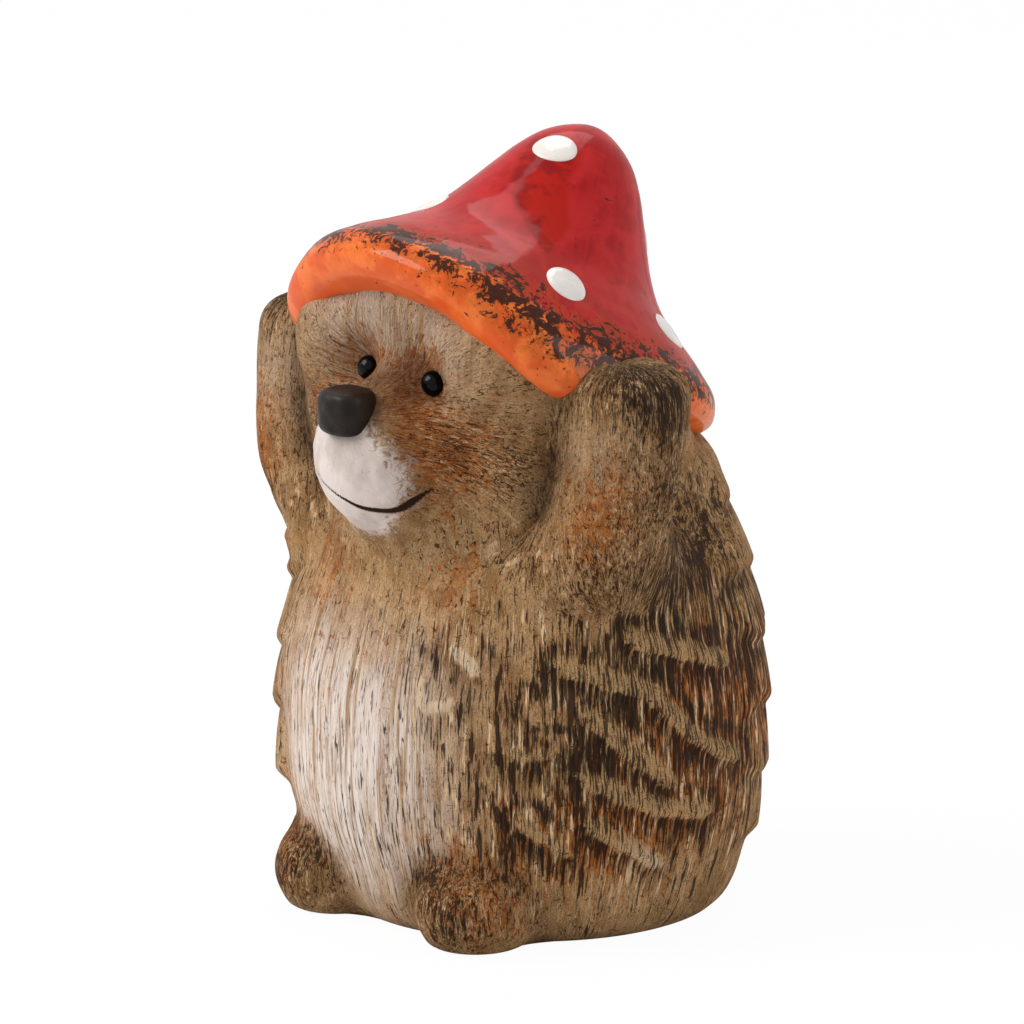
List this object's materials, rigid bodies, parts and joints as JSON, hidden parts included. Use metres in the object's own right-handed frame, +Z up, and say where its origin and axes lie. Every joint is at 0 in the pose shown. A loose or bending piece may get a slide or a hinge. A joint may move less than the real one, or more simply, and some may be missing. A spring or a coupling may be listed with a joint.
{
  "type": "hedgehog figurine",
  "caption": "Hollow ceramic hedgehog figurine, standing upright and holding a glazed mushroom cap on its head with both paws.",
  "frame": {"origin": "on the ground, on the axis of the round vent hole in the base", "axes": "+Z up, -Y the way the muzzle points, +X to the hedgehog's left"},
  "size_m": [0.1434, 0.1318, 0.2],
  "materials": {
    "painted_bisque": "matte fired clay with dry-brushed umber, sand and orange-brown paint",
    "quill_bisque": "matte fired clay with brushed tan and umber paint",
    "red_glaze": "glossy red glaze that runs to orange at the rim",
    "white_glaze": "glossy white enamel",
    "black_glaze": "satin black glaze"
  },
  "bodies": {
    "root": {"torso": "painted_bisque", "head": "painted_bisque", "muzzle": "painted_bisque", "arm_left": "painted_bisque", "arm_right": "painted_bisque", "foot_left": "painted_bisque", "foot_right": "painted_bisque", "quill_row_1": "quill_bisque", "quill_row_2": "quill_bisque", "quill_row_3": "quill_bisque", "quill_row_4": "quill_bisque", "quill_row_5": "quill_bisque", "quill_row_6": "quill_bisque", "mushroom_cap": "red_glaze", "cap_dots": "white_glaze", "nose": "black_glaze", "eye_left": "black_glaze", "eye_right": "black_glaze"}
  },
  "joints": []
}
